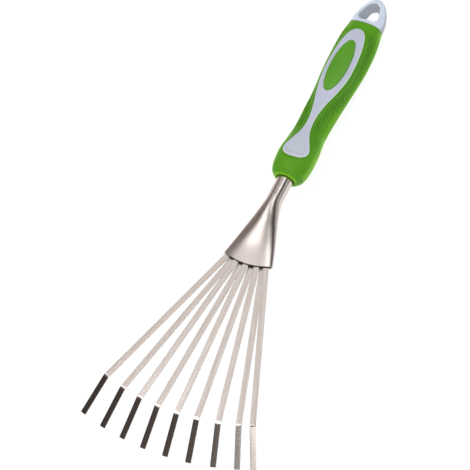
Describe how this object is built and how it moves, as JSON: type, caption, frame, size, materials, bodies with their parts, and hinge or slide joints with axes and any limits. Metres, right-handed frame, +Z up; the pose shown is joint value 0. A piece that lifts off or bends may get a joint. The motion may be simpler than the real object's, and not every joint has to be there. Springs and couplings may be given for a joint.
{
  "type": "hand rake",
  "caption": "Hand rake with a fan of flat spring tines turned down at the tips, a flared steel ferrule and a cushioned handle with a hang eye.",
  "frame": {"origin": "centre of the tool's footprint, on the surface that it lies on", "axes": "+Y from the tines to the hang eye, +Z up, +X to the right seen from above with the handle away"},
  "size_m": [0.1474, 0.417, 0.0373],
  "materials": {
    "tine_steel": "satin rolled spring strip",
    "ferrule_steel": "brushed stainless, bright lip",
    "pin_steel": "plain",
    "plug_plastic": "plain",
    "core_plastic": "plain moulded",
    "grip_rubber": "satin soft moulded rubber with ribbed flanks",
    "inlay_plastic": "satin moulded",
    "badge_plastic": "satin moulded, blank",
    "cap_plastic": "satin moulded"
  },
  "bodies": {
    "root": {"tine_1": "tine_steel", "tine_2": "tine_steel", "tine_3": "tine_steel", "tine_4": "tine_steel", "tine_5": "tine_steel", "tine_6": "tine_steel", "tine_7": "tine_steel", "tine_8": "tine_steel", "tine_9": "tine_steel", "ferrule": "ferrule_steel", "tang_pin": "pin_steel", "tang_plug": "plug_plastic", "handle_core": "core_plastic", "soft_grip": "grip_rubber", "top_inlay": "inlay_plastic", "badge": "badge_plastic", "hang_cap": "cap_plastic"}
  },
  "joints": []
}
